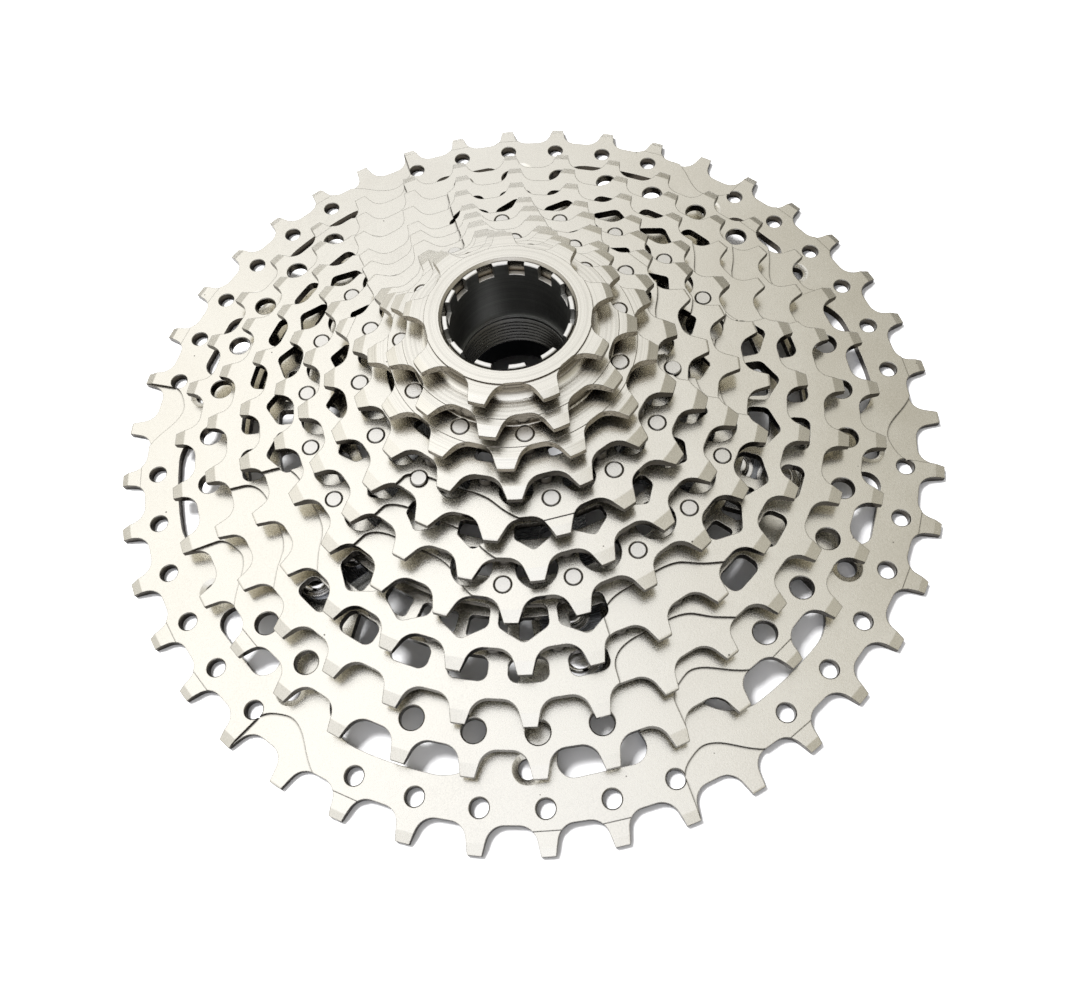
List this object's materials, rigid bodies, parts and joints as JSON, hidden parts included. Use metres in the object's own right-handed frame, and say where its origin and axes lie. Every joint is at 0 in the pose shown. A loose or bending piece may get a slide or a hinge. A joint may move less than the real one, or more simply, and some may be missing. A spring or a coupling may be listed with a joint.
{
  "type": "bicycle cassette sprocket",
  "caption": "Wide-range bicycle rear cassette: stepped toothed steel sprockets pinned together on a splined carrier, held by a rotating lock tube.",
  "frame": {"origin": "on the axis of rotation, at the back face of the largest sprocket", "axes": "+Z along the axis of rotation, from the largest sprocket towards the smallest"},
  "size_m": [0.1726, 0.1724, 0.0395],
  "materials": {
    "plated_steel": "satin nickel plate",
    "machined_steel": "machined and nickel plated",
    "pin_steel": "ground pin ends",
    "anodised_alloy": "bead-blasted and anodised",
    "rivet_steel": "bright turned",
    "black_alloy": "black anodised, bright edges",
    "spring_steel": "oiled spring steel"
  },
  "bodies": {
    "cassette": {"sprocket_42t": "plated_steel", "sprocket_36t": "plated_steel", "sprocket_32t": "plated_steel", "sprocket_28t": "plated_steel", "sprocket_24t": "plated_steel", "sprocket_21t": "plated_steel", "sprocket_18t": "plated_steel", "sprocket_15t": "plated_steel", "small_sprockets": "machined_steel", "pins_13_15": "pin_steel", "pins_15_18": "pin_steel", "pins_18_21": "pin_steel", "pins_21_24": "pin_steel", "pins_24_28": "pin_steel", "pins_28_32": "pin_steel", "pins_32_36": "pin_steel", "pins_36_42": "pin_steel", "carrier": "anodised_alloy", "rivets": "rivet_steel", "rivet_washers": "rivet_steel", "retaining_ring": "spring_steel"},
    "lock_tube": {"lock_tube": "black_alloy"}
  },
  "joints": [
    {"name": "lock_tube_turn", "type": "hinge", "parent": "cassette", "child": "lock_tube", "pos_m": [0, 0, 0.035], "axis": [0, 0, 1], "continuous": true}
  ]
}
